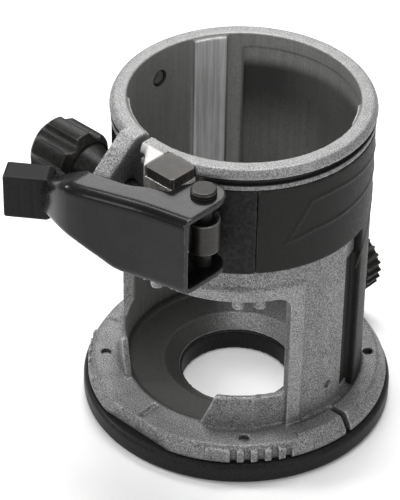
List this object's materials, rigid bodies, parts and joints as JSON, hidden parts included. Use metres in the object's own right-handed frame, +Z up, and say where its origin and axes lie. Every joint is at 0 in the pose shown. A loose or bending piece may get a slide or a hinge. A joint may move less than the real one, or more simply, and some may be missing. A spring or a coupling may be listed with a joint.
{
  "type": "router base",
  "caption": "Fixed base of a compact router: split cast sleeve with a cam lever clamp on a round foot with a sub-base and a window.",
  "frame": {"origin": "centre of the bit opening at the underside of the sub-base", "axes": "+Z up along the motor bore, the clamp and window face -Y, the guide knob faces +Y, +X to the right seen from the front"},
  "size_m": [0.094, 0.1183, 0.106],
  "materials": {
    "cast_aluminium": "bead-blasted die casting",
    "sub_base_plastic": "fine grained",
    "grip_rubber": "smooth matte",
    "panel_plastic": "textured",
    "zinc_steel": "zinc plated",
    "block_zinc": "machined",
    "black_steel": "black oxide",
    "lever_paint": "satin black, stamped",
    "tip_rubber": "matte",
    "knob_plastic": "moulded",
    "insert_brass": "turned"
  },
  "bodies": {
    "base": {"base_casting": "cast_aluminium", "sub_base": "sub_base_plastic", "sub_base_screws": "zinc_steel", "right_grip_cover": "grip_rubber", "left_grip_cover": "grip_rubber", "front_panel": "panel_plastic", "bore_pins": "zinc_steel", "thrust_block": "block_zinc", "block_cap": "knob_plastic", "wave_washer": "zinc_steel", "guide_insert": "insert_brass"},
    "draw_bolt": {"clamp_bolt": "zinc_steel"},
    "lever": {"clamp_lever": "lever_paint", "lever_tip": "tip_rubber", "pivot_pin": "black_steel", "pivot_clip": "black_steel"},
    "tension_knob": {"tension_knob": "knob_plastic", "knob_insert": "insert_brass", "clamp_washer": "zinc_steel"},
    "guide_knob": {"guide_knob": "knob_plastic", "guide_screw": "zinc_steel", "guide_washer": "zinc_steel"}
  },
  "joints": [
    {"name": "clamp_release", "type": "slide", "parent": "base", "child": "draw_bolt", "axis": [-1, 0, 0], "range_m": [0, 0.0008]},
    {"name": "lever_swing", "type": "hinge", "parent": "draw_bolt", "child": "lever", "pos_m": [0.0222, -0.04, 0.09], "axis": [0, 0, 1], "range_deg": [0, 110]},
    {"name": "tension_turn", "type": "hinge", "parent": "draw_bolt", "child": "tension_knob", "pos_m": [-0.03, -0.04, 0.09], "axis": [1, 0, 0], "continuous": true},
    {"name": "guide_turn", "type": "hinge", "parent": "base", "child": "guide_knob", "pos_m": [0, 0.05, 0.0195], "axis": [0, 1, 0], "continuous": true}
  ],
  "couplings": [
    {"joint": "lever_swing", "follows": "clamp_release", "rad_per_m": 2399}
  ]
}
